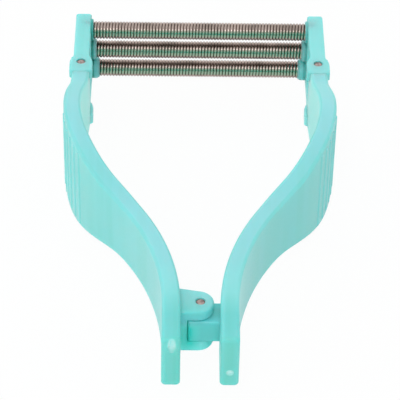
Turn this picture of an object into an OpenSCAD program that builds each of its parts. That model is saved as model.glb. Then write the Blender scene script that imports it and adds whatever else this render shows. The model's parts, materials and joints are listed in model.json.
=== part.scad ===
// Three-spring facial hair remover.
// Two ribbon arms cross-hinged at a clevis, a pivoting head on each arm,
// and three close-wound springs stretched side by side between the heads.
// It lies flat on the edges of its finger paddles: X across, Y from tails to springs, Z up.

/* [Arms] */
// Thickness of the arm ribbon
arm_t = 6.0; // [4.5:0.1:7]
// Distance from the middle of the tool to the middle of a tail
tail_x = 9.2; // [8.5:0.1:12]
// Length of the tail beyond the centre pin
tail_len = 19.2; // [14:0.1:24]
// Radius of the lower bend, at the middle of the ribbon
lower_bend_r = 88.8; // [70:0.2:100]
// Angle that the arm leans out between its two bends
lean_a = 37.8; // [32:0.2:40]
// Length of the straight stretch between the bends
straight_len = 4.0; // [2:0.1:12]
// Radius of the finger bend, at the middle of the ribbon
finger_bend_r = 65.4; // [58:0.2:72]
// Angle that the arm leans back in above the finger bend
return_a = 9.8; // [8:0.2:13]
// Radius of the neck bend below the head
neck_bend_r = 66.6; // [55:0.2:75]
// Straight stretch between the neck bend and the head pin
neck_len = 4.6; // [2:0.1:6]
// Distance from the centre pin down to the start of the lower bend
bend_drop = 4.9; // [2:0.1:7]

/* [Arm width] */
// Width of the finger paddle, which the tool lies on
paddle_w = 36.6; // [32:0.2:40]
// Width of the arm between the paddle and the clevis
waist_w = 23.6; // [21:0.2:26]
// Width of the tail's end
tail_w = 20.6; // [18:0.2:24]
// Distance from the centre pin to the paddle's neck
paddle_top_y = 108.5; // [105:0.5:112]
// Distance from the centre pin to the paddle's widest stretch
paddle_full_y = 74.5; // [70:0.5:80]
// Length over which the paddle reaches its full width below the neck
paddle_rise = 25.5; // [18:0.5:28]
// Length over which the paddle narrows to the waist
paddle_fall = 34; // [28:0.5:45]
// Radius that rounds the tail's end into its two edges
tail_round_r = 1.6; // [1:0.1:4]

/* [Grip ribs] */
// Number of ribs on each paddle
rib_count = 6; // [3:1:8]
// Radius of a rib
rib_r = 1.0; // [0.7:0.1:1.5]
// Height that a rib stands out of the paddle
rib_h = 0.35; // [0.2:0.05:0.6]
// Spacing of the ribs along the finger bend
rib_pitch = 4.4; // [4:0.1:6]
// Angle on the finger bend that the row of ribs is centred on
rib_a = 15.2; // [10:0.1:18]
// Margin between a rib's end and the paddle's edge
rib_margin = 2.2; // [1:0.1:5]

/* [Clevis] */
// Radius of the ears' round end
ear_r = 5.1; // [4.6:0.1:6]
// Distance from the pin back to the middle of the ears' round end
ear_inset = 0.8; // [0:0.1:1.2]
// Thickness of each ear
clevis_ear_t = 4.2; // [3.5:0.1:5]
// Thickness of the tongue between the ears
clevis_tongue_t = 8.5; // [7:0.1:9.5]
// Height of the ears where they leave the arm, above the pin
ear_root = 6.8; // [5.5:0.1:8]
// Thickness of the web behind the slot
clevis_web = 2.0; // [1.5:0.1:2.4]
// Radius of the tongue's lower corner
tongue_corner_r = 1.2; // [0.5:0.1:2]

/* [Heads] */
// Width of a head along the pin
head_w = 24.8; // [23:0.1:28]
// Length of a head above its pin
head_len = 28.9; // [25:0.1:32]
// Width of the two side bars
bar_w = 5.6; // [5:0.1:7]
// Thickness of the bars and of the ears at their foot
bar_t = 4.2; // [3.5:0.1:5]
// Width of the ears at the pin
head_ear_w = 8.1; // [7:0.1:9]
// Radius of the ears' round foot about the pin
head_ear_r = 6.0; // [5:0.1:6.2]
// Length above the pin over which an ear narrows to its bar
ear_flare = 4.4; // [3:0.1:6]
// Length of the plate that holds the springs
plate_len = 12.6; // [10:0.1:14]
// Radius of the corners at the working end
corner_r = 0.9; // [0.6:0.1:2.5]
// Radius of the bosses around the springs
boss_r = 4.0; // [3.9:0.05:4.2]
// Height of the top spring's boss
top_boss = 0.8; // [0.3:0.1:1.2]
// Height of the middle spring's boss
middle_boss = 1.6; // [1:0.1:2]
// Height of the bottom spring's boss
bottom_boss = 2.8; // [2:0.1:3.4]
// Radius of the bosses' rims
boss_rim_r = 0.5; // [0.3:0.1:0.6]

/* [Springs] */
// Outside diameter of a spring
spring_od = 6.4; // [5.5:0.1:7]
// Diameter of the spring wire
wire_d = 1.14; // [1:0.02:1.3]
// Distance from one turn to the next
pitch = 1.125; // [1:0.005:1.3]
// Depth that a spring's end sits inside the head's bar
socket_depth = 2.2; // [1.5:0.1:2.8]
// Distance between neighbouring springs
spring_pitch = 8.5; // [8:0.1:9]
// Distance from the head pins to the springs' axes
spring_reach = 24.0; // [21:0.1:27]

/* [Pins] */
// Diameter of the steel pins
pin_d = 2.8; // [2.2:0.1:3.2]
// Depth of a pin's end below the face around it
pin_recess = 0.4; // [0.2:0.1:1]
// Widening of the hole's mouth around a pin's end
mouth_gap = 0.25; // [0.1:0.05:0.5]
// Depth of that mouth
mouth_depth = 0.8; // [0.5:0.1:1.5]

/* [Clearances] */
// Radial clearance of a pin in its bore
pin_gap = 0.05; // [0.02:0.01:0.1]
// Radial clearance of the loose pivot in the right arm
loose_gap = 0.4; // [0.35:0.05:0.6]
// Clearance beside a tongue, on each side
side_gap = 0.2; // [0.1:0.05:0.4]
// Clearance around the round foot of a head's ears
joint_gap = 0.3; // [0.25:0.05:0.6]
// Radial clearance of a spring in its socket
socket_gap = 0.06; // [0.03:0.01:0.1]

/* [Hidden] */
$fn = 96;
mint = [0.53, 0.87, 0.86];
steel = [0.62, 0.58, 0.55];

// Stations of the right arm's middle line, from the centre pin
lower_c = [tail_x + lower_bend_r, -bend_drop];
lean_start = lower_c + lower_bend_r * [-cos(lean_a), sin(lean_a)];
lean_end = lean_start + straight_len * [sin(lean_a), cos(lean_a)];
finger_c = lean_end + finger_bend_r * [-cos(lean_a), sin(lean_a)];
return_start = finger_c + finger_bend_r * [cos(return_a), sin(return_a)];
neck_c = return_start + neck_bend_r * [cos(return_a), sin(return_a)];
neck_top = neck_c - [neck_bend_r, 0];
head_pin = neck_top + [0, neck_len];

// Heights and the place of the tool over its origin
mid_z = paddle_w / 2;
top_y = head_pin.y + head_len;
centre_y = (top_y - tail_len) / 2;
tongue_w = head_w - 2 * bar_t - 2 * side_gap;
clevis_w = clevis_tongue_t + 2 * side_gap + 2 * clevis_ear_t;
inner_x = tail_x - arm_t / 2;
slot_x = inner_x - clevis_web;
tongue_end_r = slot_x - side_gap;
far = 400;
seam_a = 0.3;
blend_steps = 12;

// Springs: all three are alike, with as many turns as fit between the sockets' floors
spring_room = 2 * (head_pin.x - bar_w / 2 + socket_depth);
turns = floor((spring_room - wire_d) / pitch) + 1;
spring_len = (turns - 1) * pitch + wire_d;
spring_y = head_pin.y + spring_reach;
boss_h = [bottom_boss, middle_boss, top_boss];

// Half of the arm's width at a distance y from the centre pin
function ease(s) = (1 - cos(180 * s)) / 2;
function paddle_half(y) = waist_w / 2 + (paddle_w - waist_w) / 2
    * ease(max(0, min(1, (y - paddle_full_y + paddle_fall) / paddle_fall)));
function neck_half(y) = head_w / 2 + (paddle_w - head_w) / 2
    * sin(90 * max(0, min(1, (paddle_top_y - y) / paddle_rise)));
tail_taper = tail_len + 4;
function tail_half(y) = tail_w / 2 + (waist_w - tail_w) / 2
    * ease(max(0, min(1, (y + tail_len) / tail_taper)));
function steps(a, b, n) = [for (i = [0:n - 1]) a + (b - a) * i / n];

// Piece of a ring between two angles, run on a little at both ends so that it joins its neighbours
module ring_sector(centre, radius, thick, start, end) {
    from = start - seam_a;
    to = end + seam_a;
    middle = (from + to) / 2;
    translate(centre) intersection() {
        difference() {
            circle(r = radius + thick / 2, $fn = 180);
            circle(r = radius - thick / 2, $fn = 180);
        }
        polygon([[0, 0], far * [cos(from), sin(from)], far * [cos(middle), sin(middle)],
                 far * [cos(to), sin(to)]]);
    }
}

// Right arm's ribbon seen from above, from the tail's end to the head pin
module ribbon_outline() {
    translate([tail_x - arm_t / 2, -tail_len]) square([arm_t, tail_len - bend_drop]);
    ring_sector(lower_c, lower_bend_r, arm_t, 180 - lean_a, 180);
    translate(lean_start) rotate(-lean_a) translate([-arm_t / 2, 0]) square([arm_t, straight_len]);
    ring_sector(finger_c, finger_bend_r, arm_t, -lean_a, return_a);
    ring_sector(neck_c, neck_bend_r, arm_t, 180, 180 + return_a);
    translate(neck_top - [arm_t / 2, 0]) square([arm_t, neck_len]);
    translate(head_pin) circle(d = arm_t);
}

// Arm seen from the side: tail, waist, finger paddle and neck
module side_outline() {
    foot_x = tail_half(tail_round_r - tail_len) - tail_round_r;
    right_edge = concat(
        [for (a = steps(0, 90, 9)) [foot_x + tail_round_r * sin(a), tail_round_r * (1 - cos(a)) - tail_len]],
        [for (y = steps(tail_round_r - tail_len, tail_taper - tail_len, 4)) [tail_half(y), y]],
        [for (y = steps(paddle_full_y - paddle_fall, paddle_full_y, blend_steps)) [paddle_half(y), y]],
        [[paddle_w / 2, paddle_full_y]],
        [for (y = steps(paddle_top_y - paddle_rise, paddle_top_y, blend_steps)) [neck_half(y), y]],
        [[head_w / 2, paddle_top_y], [head_w / 2, head_pin.y + arm_t]]);
    left_edge = [for (i = [len(right_edge) - 1:-1:0]) [-right_edge[i].x, right_edge[i].y]];
    polygon(concat(right_edge, left_edge));
}

// Raised ribs across the outer face of the paddle
module grip_ribs() {
    outer_r = finger_bend_r + arm_t / 2;
    step_a = rib_pitch / outer_r * 180 / PI;
    for (i = [0:rib_count - 1]) {
        a = (i - (rib_count - 1) / 2) * step_a - rib_a;
        spot = finger_c + (outer_r + rib_h - rib_r) * [cos(a), sin(a)];
        half = min(paddle_half(spot.y), neck_half(spot.y)) - rib_margin;
        translate([spot.x, spot.y, -half]) cylinder(r = rib_r, h = 2 * half, $fn = 32);
    }
}

// Ribbon arm without its hinge parts, around the middle plane
module arm_blank() {
    intersection() {
        translate([0, 0, -paddle_w / 2]) linear_extrude(paddle_w) ribbon_outline();
        rotate([0, -90, 0]) translate([0, 0, -far / 2]) linear_extrude(far) side_outline();
    }
    grip_ribs();
}

// Cuts at the head end: room for the head's ears, and the pin's bore
module neck_cuts(bore_gap) {
    for (side = [0, 1]) mirror([0, 0, side])
        translate([head_pin.x, head_pin.y, tongue_w / 2])
            cylinder(r = head_ear_r + joint_gap, h = head_w);
    translate([head_pin.x, head_pin.y, -head_w]) cylinder(d = pin_d + 2 * bore_gap, h = 2 * head_w);
}

// Fork of the left arm, drawn on the right arm's side and mirrored later
module fork() {
    difference() {
        translate([0, 0, -clevis_w / 2]) linear_extrude(clevis_w) {
            translate([ear_inset, 0]) circle(r = ear_r);
            polygon([[ear_inset, -ear_r], [tail_x, -ear_r], [tail_x, ear_root], [ear_inset, ear_r]]);
        }
        translate([-far / 2, -far / 2, -clevis_tongue_t / 2 - side_gap])
            cube([far / 2 + slot_x, far, clevis_tongue_t + 2 * side_gap]);
        pin_bore(clevis_w);
    }
}

// Tongue of the right arm: round above, with a small corner below that stops the tool opening
module tongue() {
    difference() {
        translate([0, 0, -clevis_tongue_t / 2]) linear_extrude(clevis_tongue_t) {
            circle(r = tongue_end_r);
            translate([-tongue_end_r + tongue_corner_r, -ear_r + tongue_corner_r])
                circle(r = tongue_corner_r);
            translate([-tongue_end_r + tongue_corner_r, -ear_r])
                square([tongue_end_r + tail_x - tongue_corner_r, ear_r]);
            translate([-tongue_end_r, -ear_r + tongue_corner_r])
                square([tongue_end_r, ear_r - tongue_corner_r]);
            translate([0, -ear_r]) square([tail_x, ear_r + tongue_end_r]);
        }
        translate([0, 0, -clevis_w]) cylinder(d = pin_d + 2 * pin_gap, h = 2 * clevis_w);
    }
}

// Bore for a pin through a width, with a wider mouth at each end
module pin_bore(width) {
    translate([0, 0, -width]) cylinder(d = pin_d + 2 * pin_gap, h = 2 * width);
    for (side = [0, 1]) mirror([0, 0, side])
        translate([0, 0, width / 2 - mouth_depth]) cylinder(d = pin_d + 2 * mouth_gap, h = width);
}

// Headless pin for a width, its ends sunk below the faces
module pin(width) {
    length = width - 2 * pin_recess;
    translate([0, 0, -length / 2]) cylinder(d = pin_d, h = length);
}

// Side bar of a head with the ear at its foot, seen along the pin
module bar_outline() {
    half_ear = head_ear_w / 2;
    flare = [for (y = steps(0, ear_flare, 8)) [half_ear - (half_ear - bar_w / 2) * ease(y / ear_flare), y]];
    translate([-bar_w / 2, 0]) square([bar_w, head_len - corner_r]);
    translate([-bar_w / 2 + corner_r, 0]) square([bar_w - 2 * corner_r, head_len]);
    for (side = [-1, 1]) translate([side * (bar_w / 2 - corner_r), head_len - corner_r])
        circle(r = corner_r);
    intersection() {
        circle(r = head_ear_r);
        translate([-half_ear, -head_ear_r]) square([head_ear_w, head_ear_r]);
    }
    polygon(concat(flare, [[bar_w / 2, ear_flare], [-bar_w / 2, ear_flare]],
                   [for (i = [len(flare) - 1:-1:0]) [-flare[i].x, flare[i].y]]));
}

// Round boss about one spring's end, on the plate's inner side, with a rounded rim
module spring_boss(level) {
    h = boss_h[level];
    rim = min(boss_rim_r, h);
    translate([0, spring_reach, (level - 1) * spring_pitch]) rotate([0, -90, 0]) rotate_extrude() {
        square([boss_r, bar_w / 2 + h - rim]);
        square([boss_r - rim, bar_w / 2 + h]);
        translate([boss_r - rim, bar_w / 2 + h - rim]) circle(r = rim);
    }
}

// Right head around its own pin, as a frame of two bars joined by the spring plate
module head() {
    difference() {
        union() {
            for (side = [0, 1]) mirror([0, 0, side])
                translate([0, 0, head_w / 2 - bar_t]) linear_extrude(bar_t) bar_outline();
            intersection() {
                translate([0, 0, -head_w / 2]) linear_extrude(head_w) bar_outline();
                translate([-bar_w / 2, head_len - plate_len, -head_w / 2])
                    cube([bar_w, plate_len, head_w]);
            }
            for (level = [0:2]) spring_boss(level);
        }
        pin_bore(head_w);
        for (level = [-1:1]) translate([-head_pin.x, spring_reach, level * spring_pitch])
            rotate([0, 90, 0]) cylinder(d = spring_od + 2 * socket_gap, h = spring_len / 2 + socket_gap);
    }
}

// Close-wound spring along X, around the tool's middle
module spring(level) {
    mean_r = (spring_od - wire_d) / 2;
    color(steel) place() translate([0, spring_y, level * spring_pitch]) rotate([0, 90, 0])
        rotate_extrude() for (i = [0:turns - 1])
            translate([mean_r, (i - (turns - 1) / 2) * pitch]) circle(d = wire_d, $fn = 16);
}

// Moves a piece drawn around the centre pin and the middle plane to the tool's own origin
module place() {
    translate([0, -centre_y, mid_z]) children();
}

module left_arm() {
    color(mint) place() mirror([1, 0, 0]) {
        difference() {
            arm_blank();
            neck_cuts(pin_gap);
        }
        fork();
    }
}

module right_arm() {
    color(mint) place() {
        difference() {
            arm_blank();
            neck_cuts(loose_gap);
        }
        tongue();
    }
}

module left_head() {
    color(mint) place() mirror([1, 0, 0]) translate([head_pin.x, head_pin.y, 0]) head();
}

module right_head() {
    color(mint) place() translate([head_pin.x, head_pin.y, 0]) head();
}

module centre_pin() {
    color(steel) place() pin(clevis_w);
}

module left_head_pin() {
    color(steel) place() translate([-head_pin.x, head_pin.y, 0]) pin(head_w);
}

module right_head_pin() {
    color(steel) place() translate([head_pin.x, head_pin.y, 0]) pin(head_w);
}

left_arm();
right_arm();
left_head();
right_head();
spring(1);  // spring_top
spring(0);  // spring_middle
spring(-1);  // spring_bottom
centre_pin();
left_head_pin();
right_head_pin();
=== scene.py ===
import json
import math

import bmesh
import bpy
from mathutils import Matrix, Vector


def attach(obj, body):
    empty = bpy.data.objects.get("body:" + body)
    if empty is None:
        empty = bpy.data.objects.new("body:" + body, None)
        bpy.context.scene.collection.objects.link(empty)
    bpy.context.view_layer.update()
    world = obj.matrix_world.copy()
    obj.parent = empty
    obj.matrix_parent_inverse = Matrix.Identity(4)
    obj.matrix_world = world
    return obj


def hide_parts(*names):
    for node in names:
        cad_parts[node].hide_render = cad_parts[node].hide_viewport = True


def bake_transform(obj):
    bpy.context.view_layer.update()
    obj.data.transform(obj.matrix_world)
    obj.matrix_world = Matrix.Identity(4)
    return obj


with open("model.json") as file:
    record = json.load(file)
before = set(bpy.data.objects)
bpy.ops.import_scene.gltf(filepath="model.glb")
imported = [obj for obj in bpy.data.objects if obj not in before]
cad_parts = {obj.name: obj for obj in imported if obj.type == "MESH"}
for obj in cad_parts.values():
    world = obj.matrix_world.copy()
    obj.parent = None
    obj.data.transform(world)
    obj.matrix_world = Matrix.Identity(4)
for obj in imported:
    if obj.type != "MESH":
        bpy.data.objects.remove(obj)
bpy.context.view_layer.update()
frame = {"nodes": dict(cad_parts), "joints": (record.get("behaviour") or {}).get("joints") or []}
print("frame loaded")

# All sizes below are in millimetres, measured from the centre pin as on a drawing
pieceScale = 0.001
pinPlace = Vector(frame["joints"][0]["pos_m"])
toFrame = Matrix.Translation(pinPlace) @ Matrix.Scale(pieceScale, 4)
flipSide = Matrix.Scale(-1, 4, (1, 0, 0))
pureWhite = (1, 1, 1, 1)

# Rounding and shading of edges: steps of a rim and of a softened edge, and their least angles in degrees
rimSteps = 3
softSteps = 2
softAngle = 38
sharpAngle = 40
sameSpot = 0.001  # how far apart two places may lie and still count as one


# Small helpers for node trees, shared by geometry and materials
def wire(tree, value, socket):
    if isinstance(value, bpy.types.NodeSocket):
        tree.links.new(value, socket)
    elif value is not None:
        socket.default_value = value


def addNode(tree, kind, settings=None, **inputs):
    node = tree.nodes.new(kind)
    for name, value in (settings or {}).items():
        setattr(node, name, value)
    for name, value in inputs.items():
        wire(tree, value, node.inputs[name.replace("_", " ")])
    return node


def mathNode(tree, operation, first, second=None, third=None):
    node = addNode(tree, "ShaderNodeMath", {"operation": operation})
    for value, socket in zip((first, second, third), node.inputs):
        wire(tree, value, socket)
    return node.outputs[0]


def mapRange(tree, value, low, high, outLow=0.0, outHigh=1.0):
    node = addNode(tree, "ShaderNodeMapRange")
    for entry, socket in zip((value, low, high, outLow, outHigh), node.inputs):
        wire(tree, entry, socket)
    return node.outputs[0]


def newGeometryTree(name, inputs):
    tree = bpy.data.node_groups.new(name, "GeometryNodeTree")
    tree.interface.new_socket("Geometry", in_out="INPUT", socket_type="NodeSocketGeometry")
    for label, value in inputs.items():
        kind = "NodeSocketInt" if isinstance(value, int) else "NodeSocketFloat"
        tree.interface.new_socket(label, in_out="INPUT", socket_type=kind).default_value = value
    tree.interface.new_socket("Material", in_out="INPUT", socket_type="NodeSocketMaterial")
    tree.interface.new_socket("Geometry", in_out="OUTPUT", socket_type="NodeSocketGeometry")
    source = tree.nodes.new("NodeGroupInput")
    return tree, source.outputs


def finishTree(tree, source, geometry):
    realized = addNode(tree, "GeometryNodeRealizeInstances", Geometry=geometry)
    coloured = addNode(tree, "GeometryNodeSetMaterial", Geometry=realized.outputs[0],
                       Material=source["Material"])
    sink = tree.nodes.new("NodeGroupOutput")
    tree.links.new(coloured.outputs[0], sink.inputs[0])


# Applies an object's modifier and gives the result back as a plain mesh
def bake(item, modifier):
    bpy.context.view_layer.update()
    shaped = item.evaluated_get(bpy.context.evaluated_depsgraph_get())
    mesh = bpy.data.meshes.new_from_object(shaped)
    item.modifiers.remove(modifier)
    return mesh


# Runs a tree on an object, removes the object and gives its shape back as a mesh
def growMesh(carrier, tree, values, material):
    modifier = carrier.modifiers.new("shape", "NODES")
    modifier.node_group = tree
    entries = {item.name: item.identifier for item in tree.interface.items_tree
               if item.in_out == "INPUT"}
    for label, value in values.items():
        modifier[entries[label]] = value
    modifier[entries["Material"]] = material
    mesh = bake(carrier, modifier)
    bpy.data.objects.remove(carrier)
    return mesh


def placeObject(name, mesh):
    piece = bpy.data.objects.new(name, mesh)
    bpy.context.scene.collection.objects.link(piece)
    return piece


def placeForm(name, form):
    mesh = bpy.data.meshes.new(name)
    form.to_mesh(mesh)
    form.free()
    return placeObject(name, mesh)


# Points of an arc, both ends included
def arc(centre, radius, start, end, count):
    turns = [math.radians(start + (end - start) * i / count) for i in range(count + 1)]
    return [(centre[0] + radius * math.cos(a), centre[1] + radius * math.sin(a)) for a in turns]


# Solid of an outline between two heights, its rims rounded
def slab(name, outline, low, high, rim):
    form = bmesh.new()
    floor = [form.verts.new((x, y, low)) for x, y in outline]
    base = form.faces.new(floor)
    risen = bmesh.ops.extrude_face_region(form, geom=[base])
    for vert in risen["geom"]:
        if isinstance(vert, bmesh.types.BMVert):
            vert.co.z = high
    if rim > 0:
        rims = [edge for edge in form.edges if edge.verts[0].co.z == edge.verts[1].co.z]
        bmesh.ops.bevel(form, geom=rims, offset=rim, segments=rimSteps, profile=0.5,
                        affect="EDGES", clamp_overlap=True)
    bmesh.ops.recalc_face_normals(form, faces=form.faces)
    return placeForm(name, form)


# Round bar along Z, or along X when it is laid
def rod(name, centre, radius, low, high, sides=64, laid=False):
    form = bmesh.new()
    middle = (low + high) / 2
    turn = Matrix.Rotation(math.radians(90), 4, "Y") if laid else Matrix()
    spot = Vector((middle, centre[0], centre[1])) if laid else Vector((centre[0], centre[1], middle))
    bmesh.ops.create_cone(form, cap_ends=True, segments=sides, radius1=radius, radius2=radius,
                          depth=high - low, matrix=Matrix.Translation(spot) @ turn)
    return placeForm(name, form)


# Joins or cuts solids with exact booleans; the first one gets the result
def combine(body, others, operation):
    for other in others:
        step = body.modifiers.new("combine", "BOOLEAN")
        step.operation = operation
        step.solver = "EXACT"
        step.object = other
        body.data = bake(body, step)
        bpy.data.objects.remove(other)


# Softens the edges that are still sharp
def soften(body, width):
    step = body.modifiers.new("soften", "BEVEL")
    step.width = width
    step.segments = softSteps
    step.limit_method = "ANGLE"
    step.angle_limit = math.radians(softAngle)
    step.use_clamp_overlap = True
    body.data = bake(body, step)


# Last steps for a moulded piece: side, place, shading, material, body
def settle(body, name, bodyName, nodeNames, material, mirrored=False, at=(0, 0, 0)):
    mesh = body.data
    mesh.name = name
    body.name = name
    mesh.transform(Matrix.Translation(Vector(at)))
    if mirrored:
        mesh.transform(flipSide)
        mesh.flip_normals()
    mesh.transform(toFrame)
    mesh.materials.clear()
    mesh.materials.append(material)
    mesh.polygons.foreach_set("material_index", [0] * len(mesh.polygons))
    mesh.polygons.foreach_set("use_smooth", [True] * len(mesh.polygons))
    mesh.set_sharp_from_angle(angle=math.radians(sharpAngle))
    mesh.update()
    weighted = body.modifiers.new("evenNormals", "WEIGHTED_NORMAL")
    weighted.keep_sharp = True
    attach(body, bodyName)
    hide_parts(*nodeNames)


# Camera, taken from the photograph: low perspective, looking down on the tool's face
cameraSetup = {
    "target": (0.14, -5.72, 18.3),  # millimetres, in the part's own frame
    "elevation": 40.5,
    "azimuth": 0.934,
    "roll": 1.2,
    "distance": 742.6,
    "focalPixels": 2200.0,
    "frameSide": 400.0,
    "sensor": 36.0,
    "clipNear": 0.05,  # metres
    "clipFar": 20.0,
}


def makeCamera(setup):
    elevation = math.radians(setup["elevation"])
    azimuth = math.radians(setup["azimuth"])
    ahead = Vector((math.sin(azimuth) * math.cos(elevation),
                    math.cos(azimuth) * math.cos(elevation), -math.sin(elevation)))
    level = Vector((math.cos(azimuth), -math.sin(azimuth), 0))
    rise = level.cross(ahead)
    roll = math.radians(setup["roll"])
    right = math.cos(roll) * level + math.sin(roll) * rise
    top = -math.sin(roll) * level + math.cos(roll) * rise
    spot = (Vector(setup["target"]) - ahead * setup["distance"]) * pieceScale
    data = bpy.data.cameras.new("photoCamera")
    data.sensor_width = setup["sensor"]
    data.lens = setup["focalPixels"] / setup["frameSide"] * setup["sensor"]
    data.clip_start = setup["clipNear"]
    data.clip_end = setup["clipFar"]
    camera = bpy.data.objects.new("photoCamera", data)
    pose = Matrix((right, top, -ahead)).transposed().to_4x4()
    camera.matrix_world = Matrix.Translation(spot) @ pose
    bpy.context.scene.collection.objects.link(camera)
    bpy.context.scene.camera = camera


makeCamera(cameraSetup)

# Studio, in metres: three soft lamps, a pale even world and a white table
studioLamps = {
    "keyLamp": {"place": (-0.10, -0.63, 0.83), "size": 0.42, "power": 2.4},
    "fillLamp": {"place": (-0.8, 0.15, 0.5), "size": 0.8, "power": 1.2},
    "backLamp": {"place": (0.1, 0.9, 0.35), "size": 0.5, "power": 0.5},
}
studio = {
    "worldLight": 0.79,
    "worldTint": (0.995, 0.975, 1.0, 1),
    "floorSide": 6.0,
    "floorTint": (0.90, 0.95, 0.93, 1),
    "whiteShare": 0.95,
}


def seenDirectly(tree):
    path = addNode(tree, "ShaderNodeLightPath")
    first = mathNode(tree, "MAXIMUM", path.outputs["Is Camera Ray"], path.outputs["Is Glossy Ray"])
    return mathNode(tree, "MAXIMUM", first, path.outputs["Is Transmission Ray"])


# Mixes two shaders and sends them to the tree's output
def mixToOutput(tree, share, first, second, sinkKind):
    mixed = tree.nodes.new("ShaderNodeMixShader")
    for value, socket in zip((share, first.outputs[0], second.outputs[0]), mixed.inputs):
        wire(tree, value, socket)
    sink = tree.nodes.new(sinkKind)
    tree.links.new(mixed.outputs[0], sink.inputs[0])


def makeLamps(lamps):
    for name, lamp in lamps.items():
        data = bpy.data.lights.new(name, "AREA")
        data.shape = "DISK"
        data.size = lamp["size"]
        data.energy = lamp["power"]
        item = bpy.data.objects.new(name, data)
        item.location = lamp["place"]
        item.rotation_euler = (-Vector(lamp["place"])).to_track_quat("-Z", "Y").to_euler()
        bpy.context.scene.collection.objects.link(item)


def makeWorld(setup):
    world = bpy.data.worlds.new("paleStudio")
    world.use_nodes = True
    tree = world.node_tree
    tree.nodes.clear()
    lighting = addNode(tree, "ShaderNodeBackground", Color=setup["worldTint"],
                       Strength=setup["worldLight"])
    backdrop = addNode(tree, "ShaderNodeBackground", Color=pureWhite, Strength=1.0)
    mixToOutput(tree, seenDirectly(tree), lighting, backdrop, "ShaderNodeOutputWorld")
    bpy.context.scene.world = world


def makeFloor(setup):
    half = setup["floorSide"] / 2
    mesh = bpy.data.meshes.new("table")
    corners = [(-half, -half, 0), (half, -half, 0), (half, half, 0), (-half, half, 0)]
    mesh.from_pydata(corners, [], [(0, 1, 2, 3)])
    table = placeObject("table", mesh)
    material = bpy.data.materials.new("whiteTable")
    material.use_nodes = True
    tree = material.node_tree
    tree.nodes.clear()
    matte = addNode(tree, "ShaderNodeBsdfDiffuse", Color=setup["floorTint"])
    glow = addNode(tree, "ShaderNodeEmission", Color=pureWhite, Strength=1.0)
    share = mathNode(tree, "MULTIPLY", seenDirectly(tree), setup["whiteShare"])
    mixToOutput(tree, share, matte, glow, "ShaderNodeOutputMaterial")
    mesh.materials.append(material)


makeLamps(studioLamps)
makeWorld(studio)
makeFloor(studio)
bpy.context.scene.view_settings.view_transform = "Standard"
print("camera, lamps and table made")


# Shader group: slow colour drift, fine grain and long streaks of a moulded or drawn surface
surfaceNoises = {
    "Drift": {"scale": 30.0, "detail": 2.0, "stretch": (1.0, 1.0, 1.0)},
    "Grain": {"scale": 900.0, "detail": 3.0, "stretch": (1.0, 1.0, 1.0)},
    "Streak": {"scale": 300.0, "detail": 1.0, "stretch": (1.0, 0.04, 0.04)},
}
# Part of each noise's values that is spread out to run from 0 to 1
noiseSpans = {"drift": (0.35, 0.65), "grain": (0.3, 0.7), "streak": (0.3, 0.7), "tint": (0.42, 0.6)}


def makeSurfaceGroup(noises):
    tree = bpy.data.node_groups.new("surfaceDrift", "ShaderNodeTree")
    for label, noise in noises.items():
        scale = tree.interface.new_socket(label + " scale", in_out="INPUT", socket_type="NodeSocketFloat")
        scale.default_value = noise["scale"]
        tree.interface.new_socket(label, in_out="OUTPUT", socket_type="NodeSocketFloat")
    source = tree.nodes.new("NodeGroupInput")
    sink = tree.nodes.new("NodeGroupOutput")
    place = addNode(tree, "ShaderNodeTexCoord").outputs["Object"]
    for label, noise in noises.items():
        drawn = addNode(tree, "ShaderNodeMapping", Vector=place, Scale=noise["stretch"]).outputs[0]
        field = addNode(tree, "ShaderNodeTexNoise", Vector=drawn, Scale=source.outputs[label + " scale"],
                        Detail=noise["detail"])
        tree.links.new(field.outputs[0], sink.inputs[label])
    return tree


# Limits of the masks that pick faces by the way they look; they place painted light and shade on flat
# tops, rounded edges and inner faces
faceLimits = {
    "inward": (-0.022, -0.036),  # place times normal across the tool, in metres
    "rimLow": (0.3, 0.55),  # rise of the normal
    "rimHigh": (0.985, 0.86),
    "top": (0.9, 0.99),
    "topShare": 0.7,
}
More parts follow.
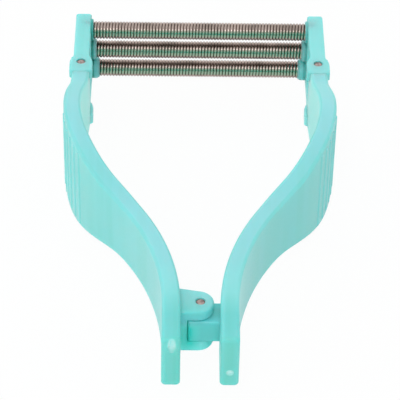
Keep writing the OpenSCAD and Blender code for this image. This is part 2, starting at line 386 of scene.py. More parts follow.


# Shader group: mask of a soft-edged stretch of another tone; most such stretches are painted light, shade
# and reflection, the rest are the plastic's own tone
def makePatchGroup(limits):
    tree = bpy.data.node_groups.new("softPatch", "ShaderNodeTree")
    for label in ("Centre", "Reach", "Edge"):
        tree.interface.new_socket(label, in_out="INPUT", socket_type="NodeSocketVector")
    for label in ("Box mask", "Round mask", "Inward", "Rim", "Top"):
        tree.interface.new_socket(label, in_out="OUTPUT", socket_type="NodeSocketFloat")
    source = tree.nodes.new("NodeGroupInput")
    sink = tree.nodes.new("NodeGroupOutput")
    coordinates = addNode(tree, "ShaderNodeTexCoord").outputs
    place = coordinates["Object"]

    def vectorNode(operation, first, second=None):
        node = addNode(tree, "ShaderNodeVectorMath", {"operation": operation})
        wire(tree, first, node.inputs[0])
        wire(tree, second, node.inputs[1])
        return node.outputs[0]

    offset = vectorNode("SUBTRACT", place, source.outputs["Centre"])
    away = vectorNode("ABSOLUTE", vectorNode("DIVIDE", offset, source.outputs["Reach"]))
    steep = vectorNode("MULTIPLY", vectorNode("SUBTRACT", (1, 1, 1), away), source.outputs["Edge"])
    shares = addNode(tree, "ShaderNodeSeparateXYZ", Vector=steep).outputs
    mask = 1.0
    for share in shares:
        mask = mathNode(tree, "MULTIPLY", mapRange(tree, share, 0.0, 1.0), mask)
    tree.links.new(mask, sink.inputs["Box mask"])
    length = addNode(tree, "ShaderNodeVectorMath", {"operation": "LENGTH"}, Vector=away).outputs["Value"]
    steepness = addNode(tree, "ShaderNodeSeparateXYZ", Vector=source.outputs["Edge"]).outputs[0]
    depth = mathNode(tree, "MULTIPLY", mathNode(tree, "SUBTRACT", 1.0, length), steepness)
    tree.links.new(mapRange(tree, depth, 0.0, 1.0), sink.inputs["Round mask"])

    # Faces that look towards the tool's middle: place and normal point opposite ways across it
    across = vectorNode("MULTIPLY", place, coordinates["Normal"])
    outward = addNode(tree, "ShaderNodeSeparateXYZ", Vector=across).outputs[0]
    tree.links.new(mapRange(tree, outward, *limits["inward"]), sink.inputs["Inward"])

    # Rounded upper edges, where the normal's rise lies between a wall's and a flat top's, and flat tops
    rise = addNode(tree, "ShaderNodeSeparateXYZ", Vector=coordinates["Normal"]).outputs[2]
    rim = mathNode(tree, "MULTIPLY", mapRange(tree, rise, *limits["rimLow"]),
                   mapRange(tree, rise, *limits["rimHigh"]))
    tree.links.new(rim, sink.inputs["Rim"])
    flat = mapRange(tree, rise, *limits["top"], 0.0, limits["topShare"])
    tree.links.new(flat, sink.inputs["Top"])
    return tree


surfaceDrift = makeSurfaceGroup(surfaceNoises)
softPatch = makePatchGroup(faceLimits)

mintPlastic = {
    "light": (0.285, 0.735, 0.705, 1),
    "deep": (0.225, 0.680, 0.650, 1),
    "driftScale": 22.0,
    "grainScale": 1400.0,
    "roughLow": 0.30,
    "roughHigh": 0.42,
    "grainDepth": 0.00001,  # metres
    "grainStrength": 0.35,
    "streakScale": 420.0,
    "streakShare": 0.35,
    "streakTint": (0.31, 0.72, 0.80, 1),
    "streakTintShare": 0.12,
    "bodyGlow": 0.7,
    "glowDepth": 0.006,  # metres
    "glowReach": (0.2, 1.0, 0.95),
    "refraction": 1.47,
    "shine": 0.25,
}

# Stretches of another tone, in millimetres from the centre pin: middle, reach and steepness of the edge.
# All but the tails and the gate marks are painted light and shade
armPatches = (
    # Deeper tone towards the tails
    {"name": "tails", "colour": (0.175, 0.630, 0.595, 1),
     "middle": (0, -19, 0), "reach": (30, 20, 30), "edge": (9, 2.2, 9)},
    # Painted shade in the slot: its walls and floor get the saturated teal of shaded plastic
    {"name": "slotWallsShade", "colour": (0.26, 0.88, 0.83, 1),
     "middle": (0, -3, -5), "reach": (10.5, 14, 10.5), "edge": (9, 9, 3)},
    {"name": "slotFloorShade", "colour": (0.07, 0.76, 0.67, 1),
     "middle": (-3.4, -3, -2), "reach": (3.6, 14, 6.5), "edge": (1.2, 9, 2)},
    # Painted shade on the tongue's face and the fork's near ear inside the clevis
    {"name": "tongueFaceShade", "colour": (0.175, 0.70, 0.67, 1),
     "middle": (4.0, -1, 0), "reach": (7.0, 6, 4.7), "edge": (2, 9, 12)},
    {"name": "forkEarShade", "colour": (0.205, 0.71, 0.72, 1),
     "middle": (-2.0, -5.1, 5.4), "reach": (9, 3.0, 3.2), "edge": (6, 2, 1.5)},
    # Painted shade on the tails' end faces, darker still over the rounded edge above them to damp its
    # highlight
    {"name": "tailEndsShade", "colour": (0.17, 0.625, 0.555, 1),
     "middle": (0, -19.2, 0), "reach": (30, 1.4, 11), "edge": (9, 2, 9)},
    {"name": "tailEdgeShade", "colour": (0.163, 0.60, 0.54, 1),
     "middle": (0, -19.2, 10.3), "reach": (30, 2.4, 2.4), "edge": (9, 1.4, 1.4)},
    # Painted shade: the right arm a little deeper, where less light falls on it
    {"name": "rightArm", "colour": (0.232, 0.665, 0.635, 1),
     "middle": (40, 48, 0), "reach": (36, 52, 30), "edge": (3, 2.5, 9)},
    # Painted light: the arms' flat upper faces bluer, as lit from above
    {"name": "topsPaintedLight", "face": "Top", "colour": (0.31, 0.68, 0.71, 1),
     "middle": (0, 62, 15), "reach": (60, 64, 10), "edge": (9, 3, 9)},
    # Painted shade over the left arm's rounded upper edge, damping its highlight
    {"name": "leftRimShade", "face": "Rim", "colour": (0.225, 0.635, 0.62, 1),
     "middle": (-40, 50, 12), "reach": (38, 62, 12), "edge": (4, 4, 9)},
    # Painted light: the arms' faces towards the middle near the necks paler, as from light bounced up from
    # below
    {"name": "innerFaceLight", "face": "Inward", "colour": (0.38, 0.89, 0.83, 1),
     "middle": (0, 98, 0), "reach": (50, 28, 30), "edge": (9, 2, 9)},
    # Gate marks: paler spots of the plastic's own
    {"name": "leftGate", "mask": "Round mask", "colour": (0.50, 0.80, 0.77, 1),
     "middle": (-8.9, -19.2, 7.5), "reach": (1.6, 1.5, 3.3), "edge": (2.2, 0, 0)},
    {"name": "rightGate", "mask": "Round mask", "colour": (0.55, 0.83, 0.80, 1),
     "middle": (9.3, -19.2, -3.9), "reach": (1.4, 1.5, 1.4), "edge": (2.2, 0, 0)},
)
# Stretches of another tone on the heads: all painted light and shade
headPatches = (
    # Painted shade: the saturated teal of the heads' shaded inner side
    {"name": "inside", "colour": (0.22, 0.74, 0.70, 1),
     "middle": (0, 146, 0), "reach": (39.6, 17, 40), "edge": (60, 5, 9)},
    # Painted light: the lowest bosses paler, though they lie in shade under the springs
    {"name": "lowBossesLight", "colour": (0.22, 0.92, 0.88, 1),
     "middle": (0, 143.8, -8.0), "reach": (39.3, 5.5, 5.5), "edge": (90, 4, 3)},
    # Painted light: the far ears' feet paler where they lie in shade
    {"name": "farFoot", "colour": (0.36, 0.86, 0.82, 1),
     "middle": (0, 123, -11), "reach": (41.5, 16, 5), "edge": (20, 5, 4)},
    # Painted shade: a dark strip down each head's inner face beside the bosses, deeper on the left
    {"name": "leftRecessShade", "colour": (0.06, 0.42, 0.36, 1),
     "middle": (-39.0, 143, 0), "reach": (0.7, 7, 14), "edge": (2, 6, 9)},
    {"name": "rightRecessShade", "colour": (0.15, 0.60, 0.56, 1),
     "middle": (39.0, 143, 0), "reach": (0.7, 7, 14), "edge": (2, 6, 9)},
)


def patchMask(tree, patch):
    stretch = addNode(tree, "ShaderNodeGroup", {"node_tree": softPatch, "label": patch["name"]},
                      Centre=toFrame @ Vector(patch["middle"]), Reach=Vector(patch["reach"]) * pieceScale,
                      Edge=patch["edge"])
    mask = stretch.outputs[patch.get("mask", "Box mask")]
    if "face" in patch:
        mask = mathNode(tree, "MULTIPLY", mask, stretch.outputs[patch["face"]])
    return mask


def startMaterial(name):
    material = bpy.data.materials.new(name)
    material.use_nodes = True
    tree = material.node_tree
    tree.nodes.clear()
    shader = addNode(tree, "ShaderNodeBsdfPrincipled")
    sink = tree.nodes.new("ShaderNodeOutputMaterial")
    tree.links.new(shader.outputs[0], sink.inputs[0])
    return material, tree, shader


def mixColour(tree, share, first, second):
    node = addNode(tree, "ShaderNodeMix", {"data_type": "RGBA"})
    for value, socket in ((share, node.inputs[0]), (first, node.inputs[6]), (second, node.inputs[7])):
        wire(tree, value, socket)
    return node.outputs[2]


def makePlastic(name, look, patches):
    material, tree, shader = startMaterial(name)
    group = addNode(tree, "ShaderNodeGroup", {"node_tree": surfaceDrift}, Drift_scale=look["driftScale"],
                    Grain_scale=look["grainScale"], Streak_scale=look["streakScale"])
    drift = mapRange(tree, group.outputs["Drift"], *noiseSpans["drift"])
    streak = mapRange(tree, group.outputs["Streak"], *noiseSpans["streak"])
    apart = mathNode(tree, "SUBTRACT", streak, drift)
    share = mathNode(tree, "MULTIPLY_ADD", apart, look["streakShare"], drift)
    colour = mixColour(tree, share, look["deep"], look["light"])
    for patch in patches:
        colour = mixColour(tree, patchMask(tree, patch), colour, patch["colour"])
    tint = mapRange(tree, group.outputs["Streak"], *noiseSpans["tint"])
    tinted = mathNode(tree, "MULTIPLY", tint, look["streakTintShare"])
    colour = mixColour(tree, tinted, colour, look["streakTint"])
    wire(tree, colour, shader.inputs["Base Color"])
    rough = mapRange(tree, group.outputs["Grain"], *noiseSpans["grain"],
                     look["roughLow"], look["roughHigh"])
    wire(tree, rough, shader.inputs["Roughness"])
    bump = addNode(tree, "ShaderNodeBump", Strength=look["grainStrength"], Distance=look["grainDepth"],
                   Height=group.outputs["Grain"])
    wire(tree, bump.outputs[0], shader.inputs["Normal"])
    shader.inputs["Subsurface Weight"].default_value = look["bodyGlow"]
    shader.inputs["Subsurface Radius"].default_value = look["glowReach"]
    shader.inputs["Subsurface Scale"].default_value = look["glowDepth"]
    shader.inputs["IOR"].default_value = look["refraction"]
    shader.inputs["Specular IOR Level"].default_value = look["shine"]
    return material


springSteel = {
    "light": (0.42, 0.345, 0.31, 1),
    "deep": (0.29, 0.24, 0.21, 1),
    "driftScale": 160.0,
    "grainScale": 2600.0,
    "roughLow": 0.13,
    "roughHigh": 0.24,
}
pinSteel = {
    "light": (0.46, 0.355, 0.33, 1),
    "deep": (0.20, 0.15, 0.145, 1),
    "driftScale": 1300.0,
    "grainScale": 3000.0,
    "roughLow": 0.28,
    "roughHigh": 0.48,
}
pinRimShade = {"colour": (0.035, 0.03, 0.03, 1), "radius": 1.4, "edge": 5.0, "long": 4000.0}


def makeSteel(name, look, patches=()):
    material, tree, shader = startMaterial(name)
    group = addNode(tree, "ShaderNodeGroup", {"node_tree": surfaceDrift},
                    Drift_scale=look["driftScale"], Grain_scale=look["grainScale"])
    share = mapRange(tree, group.outputs["Drift"], *noiseSpans["drift"])
    colour = mixColour(tree, share, look["deep"], look["light"])
    for patch in patches:
        colour = mixColour(tree, patchMask(tree, patch), colour, patch["colour"])
    wire(tree, colour, shader.inputs["Base Color"])
    rough = mapRange(tree, group.outputs["Grain"], *noiseSpans["grain"],
                     look["roughLow"], look["roughHigh"])
    wire(tree, rough, shader.inputs["Roughness"])
    shader.inputs["Metallic"].default_value = 1.0
    return material, tree, shader


# Pins: the finish of drawn steel, with painted shade dark around the rim of each end
def makePinSteel(name, look, rim, axes):
    material, tree, shader = makeSteel(name, look)
    inner = shader.inputs["Base Color"].links[0].from_socket
    colour = rim["colour"]
    for number, axis in enumerate(axes):
        patch = {"name": "pin%d" % number, "mask": "Round mask", "middle": (axis[0], axis[1], 0),
                 "reach": (rim["radius"], rim["radius"], rim["long"]), "edge": (rim["edge"], 0, 0)}
        colour = mixColour(tree, patchMask(tree, patch), colour, inner)
    wire(tree, colour, shader.inputs["Base Color"])
    return material


armMint = makePlastic("mintArmPlastic", mintPlastic, armPatches)
headMint = makePlastic("mintHeadPlastic", mintPlastic, headPatches)
print("plastics made")

# Right arm's middle line: tail, lower bend, straight, finger bend, neck bend, neck
armRibbon = {
    "Thickness": 6.0,
    "Edge radius": 1.3,
    "Corner steps": 6,
    "Tail place": 9.2,
    "Tail length": 19.2,
    "Tail width": 20.6,
    "Tail taper": 23.2,
    "Tail round": 1.6,
    "Waist width": 23.6,
    "Paddle width": 36.6,
    "Paddle fall": 34.0,
    "Paddle full": 74.5,
    "Paddle top": 108.5,
    "Paddle rise": 25.5,
    "Neck width": 24.8,
}
armBends = {
    "bendDrop": 4.9,
    "lowerRadius": 88.8,
    "lean": 37.8,
    "straight": 4.0,
    "fingerRadius": 65.4,
    "return": 9.8,
    "neckRadius": 66.6,
    "neckLength": 4.6,
    "station": 1.3,
    "roundStep": 10,  # degrees between the stations of the tail's rounded end
}


def armStations(bends, ribbon):
    tailX, tailEnd, edge = ribbon["Tail place"], -ribbon["Tail length"], ribbon["Tail round"]
    lean, back = bends["lean"], bends["return"]
    points = [(tailX, tailEnd + edge * (1 - math.cos(math.radians(a))))
              for a in range(0, 91, bends["roundStep"])]
    start, end = points[-1][1], -bends["bendDrop"]
    steps = round((end - start) / bends["station"])
    points += [(tailX, start + (end - start) * i / steps) for i in range(1, steps)]
    lowerC = (tailX + bends["lowerRadius"], end)

    def bend(centre, radius, fromA, toA):
        count = max(2, round(abs(math.radians(toA - fromA)) * radius / bends["station"]))
        return arc(centre, radius, fromA, toA, count)

    points += bend(lowerC, bends["lowerRadius"], 180, 180 - lean)
    along = Vector((math.sin(math.radians(lean)), math.cos(math.radians(lean))))
    leanEnd = Vector(points[-1]) + along * bends["straight"]
    count = round(bends["straight"] / bends["station"])
    points += [tuple(Vector(points[-1]).lerp(leanEnd, i / count)) for i in range(1, count)]
    outward = Vector((-math.cos(math.radians(lean)), math.sin(math.radians(lean))))
    fingerC = leanEnd + bends["fingerRadius"] * outward
    points += bend(fingerC, bends["fingerRadius"], -lean, back)
    inward = Vector((math.cos(math.radians(back)), math.sin(math.radians(back))))
    neckC = fingerC + (bends["fingerRadius"] + bends["neckRadius"]) * inward
    points += bend(neckC, bends["neckRadius"], 180 + back, 180)[1:]
    headPin = (points[-1][0], points[-1][1] + bends["neckLength"])
    points.append(headPin)
    return points, fingerC, headPin


armLine, fingerCentre, headPin = armStations(armBends, armRibbon)


# Ribbon tree: a rounded section along the middle line, its width eased along the arm
def makeRibbonTree(inputs):
    tree, source = newGeometryTree("ribbonArm", inputs)
    outline = addNode(tree, "GeometryNodeCurvePrimitiveQuadrilateral", Width=source["Thickness"],
                      Height=source["Paddle width"])
    corners = addNode(tree, "GeometryNodeFilletCurve", {"mode": "POLY"}, Curve=outline.outputs[0],
                      Count=source["Corner steps"], Radius=source["Edge radius"])
    upright = addNode(tree, "GeometryNodeSetCurveNormal", {"mode": "Z_UP"}, Curve=source["Geometry"])
    swept = addNode(tree, "GeometryNodeCurveToMesh", Curve=upright.outputs[0],
                    Profile_Curve=corners.outputs[0], Fill_Caps=True)
    place = addNode(tree, "GeometryNodeInputPosition").outputs[0]
    x, y, z = addNode(tree, "ShaderNodeSeparateXYZ", Vector=place).outputs

    def ease(share):
        turned = mathNode(tree, "COSINE", mathNode(tree, "MULTIPLY", share, math.pi))
        return mathNode(tree, "MULTIPLY_ADD", turned, -0.5, 0.5)

    def half(narrow, wide, share):
        spread = mathNode(tree, "MULTIPLY", mathNode(tree, "SUBTRACT", wide, narrow), 0.5)
        return mathNode(tree, "MULTIPLY_ADD", spread, share, mathNode(tree, "MULTIPLY", narrow, 0.5))

    fallStart = mathNode(tree, "SUBTRACT", source["Paddle full"], source["Paddle fall"])
    riseEnd = mathNode(tree, "SUBTRACT", source["Paddle top"], source["Paddle rise"])
    tailEnd = mathNode(tree, "MULTIPLY", source["Tail length"], -1.0)
    taperEnd = mathNode(tree, "ADD", tailEnd, source["Tail taper"])
    paddle = half(source["Waist width"], source["Paddle width"],
                  ease(mapRange(tree, y, fallStart, source["Paddle full"])))
    quarter = mathNode(tree, "MULTIPLY", mapRange(tree, y, source["Paddle top"], riseEnd), math.pi / 2)
    neck = half(source["Neck width"], source["Paddle width"], mathNode(tree, "SINE", quarter))
    tail = half(source["Tail width"], source["Waist width"], ease(mapRange(tree, y, tailEnd, taperEnd)))
    tailLess = mathNode(tree, "SUBTRACT", tail, mathNode(tree, "MULTIPLY", source["Waist width"], 0.5))
    width = mathNode(tree, "ADD", mathNode(tree, "MINIMUM", paddle, neck), tailLess)

    # Round the tail's end: the section draws in as a quarter circle over the last stretch
    fromEnd = mathNode(tree, "SUBTRACT", y, tailEnd)

    def inset(radius):
        short = mathNode(tree, "MAXIMUM", mathNode(tree, "SUBTRACT", radius, fromEnd), 0.0)
        square = mathNode(tree, "SUBTRACT", mathNode(tree, "POWER", radius, 2.0),
                          mathNode(tree, "POWER", short, 2.0))
        return mathNode(tree, "SUBTRACT", radius, mathNode(tree, "SQRT", square))

    grow = mathNode(tree, "SUBTRACT", mathNode(tree, "SUBTRACT", width, inset(source["Tail round"])),
                    mathNode(tree, "MULTIPLY", source["Paddle width"], 0.5))
    newZ = mathNode(tree, "ADD", z, mathNode(tree, "MULTIPLY", grow, mathNode(tree, "SIGN", z)))
    drawn = mathNode(tree, "MULTIPLY", inset(source["Edge radius"]), 2.0)
    thin = mathNode(tree, "SUBTRACT", 1.0, mathNode(tree, "DIVIDE", drawn, source["Thickness"]))
    offMiddle = mathNode(tree, "SUBTRACT", x, source["Tail place"])
    newX = mathNode(tree, "MULTIPLY_ADD", offMiddle, thin, source["Tail place"])
    moved = addNode(tree, "ShaderNodeCombineXYZ", X=newX, Y=y, Z=newZ)
    shaped = addNode(tree, "GeometryNodeSetPosition", Geometry=swept.outputs[0], Position=moved.outputs[0])
    finishTree(tree, source, shaped.outputs[0])
    return tree


# Rib tree: soft-ended bars set along the paddle's outer face
gripRibs = {
    "Count": 6,
    "Radius": 1.0,
    "Spacing angle": 3.686,
    "First angle": -24.415,
    "Ring radius": 67.75,
    "Length": 30.8,
    "Soft end": 3.0,
    "Stations": 40,
    "Sides": 20,
    "Least swell": 0.05,
}


def makeRibTree(inputs):
    tree, source = newGeometryTree("gripRibs", inputs)
    points = addNode(tree, "GeometryNodePoints", Count=source["Count"])
    index = addNode(tree, "GeometryNodeInputIndex").outputs[0]
    angle = mathNode(tree, "RADIANS", mathNode(tree, "MULTIPLY_ADD", index, source["Spacing angle"],
                                               source["First angle"]))
    x = mathNode(tree, "MULTIPLY_ADD", mathNode(tree, "COSINE", angle), source["Ring radius"],
                 fingerCentre[0])
    y = mathNode(tree, "MULTIPLY_ADD", mathNode(tree, "SINE", angle), source["Ring radius"],
                 fingerCentre[1])
    spot = addNode(tree, "ShaderNodeCombineXYZ", X=x, Y=y)
    placed = addNode(tree, "GeometryNodeSetPosition", Geometry=points.outputs[0], Position=spot.outputs[0])
    half = mathNode(tree, "MULTIPLY", source["Length"], 0.5)
    low = addNode(tree, "ShaderNodeCombineXYZ", Z=mathNode(tree, "MULTIPLY", half, -1.0))
    high = addNode(tree, "ShaderNodeCombineXYZ", Z=half)
    line = addNode(tree, "GeometryNodeCurvePrimitiveLine", Start=low.outputs[0], End=high.outputs[0])
    fine = addNode(tree, "GeometryNodeResampleCurve", Curve=line.outputs[0], Count=source["Stations"])
    factor = addNode(tree, "GeometryNodeSplineParameter").outputs["Factor"]
    nearest = mathNode(tree, "MINIMUM", factor, mathNode(tree, "SUBTRACT", 1.0, factor))
    inside = mathNode(tree, "MULTIPLY", nearest, source["Length"])
    toEnd = mathNode(tree, "MINIMUM", mathNode(tree, "DIVIDE", inside, source["Soft end"]), 1.0)
    missing = mathNode(tree, "POWER", mathNode(tree, "SUBTRACT", 1.0, toEnd), 2.0)
    full = mathNode(tree, "SQRT", mathNode(tree, "SUBTRACT", 1.0, missing))
    swell = mathNode(tree, "MAXIMUM", full, source["Least swell"])
    tapered = addNode(tree, "GeometryNodeSetCurveRadius", Curve=fine.outputs[0], Radius=swell)
    ring = addNode(tree, "GeometryNodeCurvePrimitiveCircle", Resolution=source["Sides"],
                   Radius=source["Radius"])
    bar = addNode(tree, "GeometryNodeCurveToMesh", Curve=tapered.outputs[0],
                  Profile_Curve=ring.outputs[0], Fill_Caps=True)
    bars = addNode(tree, "GeometryNodeInstanceOnPoints", Points=placed.outputs[0],
                   Instance=bar.outputs[0])
    finishTree(tree, source, bars.outputs[0])
    return tree


# Line that a tree runs on; the rib and coil trees take nothing from its shape
def curveObject(name, points):
    data = bpy.data.curves.new(name, "CURVE")
    data.dimensions = "3D"
    spline = data.splines.new("POLY")
    spline.points.add(len(points) - 1)
    for point, spot in zip(spline.points, points):
        point.co = (spot[0], spot[1], 0, 1)
    return placeObject(name, data)


# Clevis between the arms: a fork on the left arm, a tongue on the right arm
clevis = {
    "earRadius": 5.1,
    "earInset": 0.8,
    "earThickness": 4.2,
    "earRoot": 6.8,
    "tongueThickness": 8.5,
    "sideGap": 0.2,
    "slotDepth": 4.2,
    "tongueEnd": 4.0,
    "tongueCorner": 1.2,
    "root": 9.2,
    "rim": 0.9,
    "tongueRim": 0.5,
    "webInset": 0.01,
    "mouthRadius": 1.65,
    "mouthDepth": 0.8,
    "earSteps": 30,
    "endSteps": 20,
    "cornerSteps": 8,
}
headJoint = {
    "tongueHalf": 8.0,
    "tongueRoot": 1.0,
    "footRadius": 6.3,
    "footSides": 96,
    "pinRadius": 1.45,
    "looseRadius": 1.8,
    "cutReach": 20.0,
}
softEdge = {"neck": 0.35, "head": 0.25}

# Gate marks on the tails' ends: shallow dents, the right one with a nub left in it
gateMarks = {
    "left": ({"middle": (8.9, 6.4), "reach": (1.45, 0.9, 1.9)},
             {"middle": (8.9, 8.2), "reach": (0.8, 0.7, 2.2)}),
    "right": ({"middle": (9.3, -3.9), "reach": (1.25, 0.9, 1.25)},),
    "depth": 0.6,
    "nub": {"middle": (9.6, -3.7), "reach": (0.65, 0.6, 0.5)},
    "sides": 32,
    "rings": 16,
}


def gateDent(mark, sink):
    form = bmesh.new()
    bmesh.ops.create_uvsphere(form, u_segments=gateMarks["sides"], v_segments=gateMarks["rings"],
                              radius=1.0)
    x, z = mark["middle"]
    spread = Matrix.Diagonal((*mark["reach"], 1.0))
    spot = Matrix.Translation((x, -armRibbon["Tail length"] + sink, z))
    bmesh.ops.transform(form, matrix=spot @ spread, verts=form.verts)
    return placeForm("gate", form)


def markGates(arm, side):
    dents = [gateDent(mark, gateMarks["depth"] - mark["reach"][1]) for mark in gateMarks[side]]
    combine(arm, dents, "DIFFERENCE")
    if side == "right":
        combine(arm, [gateDent(gateMarks["nub"], gateMarks["nub"]["reach"][1])], "UNION")


def forkParts(sizes):
    ear, root, inset = sizes["earRadius"], sizes["root"], sizes["earInset"]
    rise = math.degrees(math.atan2(sizes["earRoot"] - ear, root - inset))
    outline = [(root, -ear)] + arc((inset, 0), ear, 270, 90 + rise, sizes["earSteps"])
    outline.append((root, sizes["earRoot"]))
    low = sizes["tongueThickness"] / 2 + sizes["sideGap"]
    high = low + sizes["earThickness"]
    near = slab("nearEar", outline, low, high, sizes["rim"])
    far = slab("farEar", outline, -high, -low, sizes["rim"])
    slot, foot = sizes["slotDepth"], sizes["webInset"] - ear
    corners = [(slot, foot), (root, foot), (root, ear), (slot, ear)]
    web = slab("web", corners, -low - sizes["rim"], low + sizes["rim"], 0)
    return [near, far, web], high


def tongueParts(sizes):
    end, corner = sizes["tongueEnd"], sizes["tongueCorner"]
    ear, root = sizes["earRadius"], sizes["root"]
    outline = [(root, end)] + arc((0, 0), end, 90, 180, sizes["endSteps"])
    outline += arc((corner - end, corner - ear), corner, 180, 270, sizes["cornerSteps"]) + [(root, -ear)]
    half = sizes["tongueThickness"] / 2
    return [slab("hingeTongue", outline[::-1], -half, half, sizes["tongueRim"])]


def makeArm(side):
    isLeft = side == "left"
    ribbonMesh = growMesh(curveObject(side + "Line", armLine), ribbonTree, armRibbon, armMint)
    arm = placeObject(side + "Arm", ribbonMesh)
    parts, high = forkParts(clevis) if isLeft else (tongueParts(clevis), 0)
    tongue, foot, sides = headJoint["tongueHalf"], headJoint["footRadius"], headJoint["footSides"]
    root, reach = tongue + headJoint["tongueRoot"], headJoint["cutReach"]
    neckEnd = rod("neckEnd", headPin, armRibbon["Thickness"] / 2, -root, root)
    combine(arm, parts + [neckEnd], "UNION")
    bore = headJoint["pinRadius"] if isLeft else headJoint["looseRadius"]
    cuts = [rod("nearFoot", headPin, foot, tongue, reach, sides),
            rod("farFoot", headPin, foot, -reach, -tongue, sides),
            rod("neckBore", headPin, bore, -reach, reach),
            rod("hingeBore", (0, 0), headJoint["pinRadius"], -reach, reach)]
    if isLeft:
        mouth = high - clevis["mouthDepth"]
        cuts += [rod("nearMouth", (0, 0), clevis["mouthRadius"], mouth, reach),
                 rod("farMouth", (0, 0), clevis["mouthRadius"], -reach, -mouth)]
    combine(arm, cuts, "DIFFERENCE")
    soften(arm, softEdge["neck"])
    markGates(arm, side)
    ribs = growMesh(curveObject(side + "Ribs", armLine[:2]), ribTree, gripRibs, armMint)
    combine(arm, [placeObject(side + "RibBars", ribs)], "UNION")
    settle(arm, side + "ArmMoulding", side + "_arm", [side + "_arm"], armMint, isLeft)


ribbonTree = makeRibbonTree(armRibbon)
ribTree = makeRibTree(gripRibs)
for sideName in ("left", "right"):
    makeArm(sideName)
print("arms made")

# Heads: two bars with ears at the foot, a plate and three bosses with the springs' sockets
headFrame = {
    "width": 24.8,
    "length": 28.9,
    "barWidth": 5.6,
    "barThickness": 4.2,
    "earWidth": 8.1,
    "earRadius": 6.0,
    "earFlare": 4.4,
    "plateLength": 12.6,
    "cornerRadius": 0.9,
    "rim": 0.6,
    "bosses": (3.5, 2.1, 0.8),
    "bossRadius": 4.0,
    "bossRims": (2.3, 1.5, 0.5),
    "springReach": 24.0,
    "springPitch": 8.5,
    "socketRadius": 3.26,
    "socketFloor": -0.75,
    "mouthRadius": 1.65,
    "mouthDepth": 0.8,
    "earSteps": 24,
    "flareSteps": 8,
    "cornerSteps": 8,
    "bossSides": 72,
    "bossRimSteps": 6,
    "fullestRim": 0.95,  # share of a boss's height that its rim may round
}


# Two rounded corners at a bar's upper end
def barEnd(sizes):
    corner, steps = sizes["cornerRadius"], sizes["cornerSteps"]
    x, y = sizes["barWidth"] / 2 - corner, sizes["length"] - corner
    return arc((x, y), corner, 0, 90, steps) + arc((-x, y), corner, 90, 180, steps)


def barOutline(sizes):
    halfBar, halfEar = sizes["barWidth"] / 2, sizes["earWidth"] / 2
    foot = math.degrees(math.acos(halfEar / sizes["earRadius"]))
    flare = []
    for step in range(sizes["flareSteps"] + 1):
        share = step / sizes["flareSteps"]
        eased = (1 - math.cos(math.pi * share)) / 2
        flare.append((halfEar - (halfEar - halfBar) * eased, sizes["earFlare"] * share))
    outline = arc((0, 0), sizes["earRadius"], 180 + foot, 360 - foot, sizes["earSteps"]) + flare
    return outline + barEnd(sizes) + [(-x, y) for x, y in reversed(flare)]


# Round boss about one spring's end, along X, with a rounded rim
def boss(sizes, height, rim, level):
    collar = rod("boss", (sizes["springReach"], level), sizes["bossRadius"],
                 -sizes["barWidth"] / 2 - height, 0, sizes["bossSides"], True)
    form = bmesh.new()
    form.from_mesh(collar.data)
    inner = min(vert.co.x for vert in form.verts)
    rims = [edge for edge in form.edges if all(abs(vert.co.x - inner) < sameSpot for vert in edge.verts)]
    bmesh.ops.bevel(form, geom=rims, offset=min(rim, height * sizes["fullestRim"]),
                    segments=sizes["bossRimSteps"], profile=0.5, affect="EDGES", clamp_overlap=True)
    form.to_mesh(collar.data)
    form.free()
    return collar


def makeHead(side):
    sizes = headFrame
    halfWidth, thick = sizes["width"] / 2, sizes["barThickness"]
    bar = barOutline(sizes)
    head = slab(side + "Head", bar, halfWidth - thick, halfWidth, sizes["rim"])
    others = [slab("farBar", bar, -halfWidth, thick - halfWidth, sizes["rim"])]
    foot, halfBar = sizes["length"] - sizes["plateLength"], sizes["barWidth"] / 2
    plate = [(-halfBar, foot), (halfBar, foot)] + barEnd(sizes)
    others.append(slab("plate", plate, sizes["rim"] - halfWidth, halfWidth - sizes["rim"], 0))
    pitch = sizes["springPitch"]
    for level, (height, rim) in enumerate(zip(sizes["bosses"], sizes["bossRims"])):
        others.append(boss(sizes, height, rim, (level - 1) * pitch))
    combine(head, others, "UNION")
    reach, mouth = headJoint["cutReach"], halfWidth - sizes["mouthDepth"]
    cuts = [rod("pinBore", (0, 0), headJoint["pinRadius"], -reach, reach),
            rod("nearMouth", (0, 0), sizes["mouthRadius"], mouth, reach),
            rod("farMouth", (0, 0), sizes["mouthRadius"], -reach, -mouth)]
    for level in (-1, 0, 1):
        cuts.append(rod("socket", (sizes["springReach"], level * pitch), sizes["socketRadius"], -reach,
                        sizes["socketFloor"], laid=True))
    combine(head, cuts, "DIFFERENCE")
    soften(head, softEdge["head"])
    settle(head, side + "HeadMoulding", side + "_head", [side + "_head"], headMint,
           side == "left", (*headPin, 0))


for sideName in ("left", "right"):
    makeHead(sideName)
print("heads made")

# Springs: one close-wound wire each, split in the middle into two halves
coilSpring = {
    "Turns": 36.0,
    "Pitch": 1.125,
    "Coil radius": 2.62,
    "Wire radius": 0.56,
    "Wire sides": 12,
    "Steps a turn": 40,
}
springRow = headPin[1] + headFrame["springReach"]

# Painted reflection: a mint band on each spring's side towards the handle, in place of the mint arms
# mirrored in the wire
springHandleReflection = {
    "colour": (0.30, 0.41, 0.31, 1),
    "towardHandle": 3.198,
    "rise": 0.6,
    "reach": (60, 1.6, 1.5),
    "edge": (9, 3, 2),
}


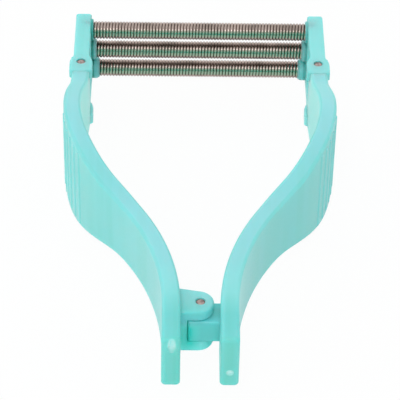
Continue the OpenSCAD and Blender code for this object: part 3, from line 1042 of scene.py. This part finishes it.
def handleReflectionPatches(handleReflection):
    return [{"name": "handleReflection", "colour": handleReflection["colour"], "reach": handleReflection["reach"], "edge": handleReflection["edge"],
             "middle": (0, springRow - handleReflection["towardHandle"],
                        handleReflection["rise"] + level * headFrame["springPitch"])}
            for level in (-1, 0, 1)]


wireSteel = makeSteel("drawnSpringSteel", springSteel, handleReflectionPatches(springHandleReflection))[0]


def makeCoilTree(inputs):
    tree, source = newGeometryTree("closeWoundCoil", inputs)
    height = mathNode(tree, "MULTIPLY", source["Turns"], source["Pitch"])
    coil = addNode(tree, "GeometryNodeCurveSpiral", Resolution=source["Steps a turn"],
                   Rotations=source["Turns"], Start_Radius=source["Coil radius"],
                   End_Radius=source["Coil radius"], Height=height)
    ring = addNode(tree, "GeometryNodeCurvePrimitiveCircle", Resolution=source["Wire sides"],
                   Radius=source["Wire radius"])
    tube = addNode(tree, "GeometryNodeCurveToMesh", Curve=coil.outputs[0],
                   Profile_Curve=ring.outputs[0], Fill_Caps=True)
    laid = addNode(tree, "GeometryNodeTransform", Geometry=tube.outputs[0],
                   Rotation=(0, math.radians(90), 0))
    finishTree(tree, source, laid.outputs[0])
    return tree


coilTree = makeCoilTree(coilSpring)


def makeSpring(level, label):
    halfLength = coilSpring["Turns"] * coilSpring["Pitch"]
    for side, start in (("left", -halfLength), ("right", 0.0)):
        name = "spring" + label.capitalize() + side.capitalize()
        mesh = growMesh(curveObject(name + "Line", armLine[:2]), coilTree, coilSpring, wireSteel)
        mesh.transform(Matrix.Translation((start, springRow, level * headFrame["springPitch"])))
        mesh.transform(toFrame)
        mesh.polygons.foreach_set("use_smooth", [True] * len(mesh.polygons))
        piece = placeObject(name, mesh)
        if side == "left":
            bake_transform(piece)
        else:
            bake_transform(piece)
        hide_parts("spring_" + label)


for levelIndex, levelName in ((1, "top"), (0, "middle"), (-1, "bottom")):
    makeSpring(levelIndex, levelName)
print("springs made")

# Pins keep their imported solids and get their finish
dullSteel = makePinSteel("dullPinSteel", pinSteel, pinRimShade, ((0, 0), headPin, (-headPin[0], headPin[1])))
for pinName in ("centre_pin", "left_head_pin", "right_head_pin"):
    pinObject = frame["nodes"][pinName]
    for entry in pinObject.material_slots:
        entry.material = dullSteel

print("finished")
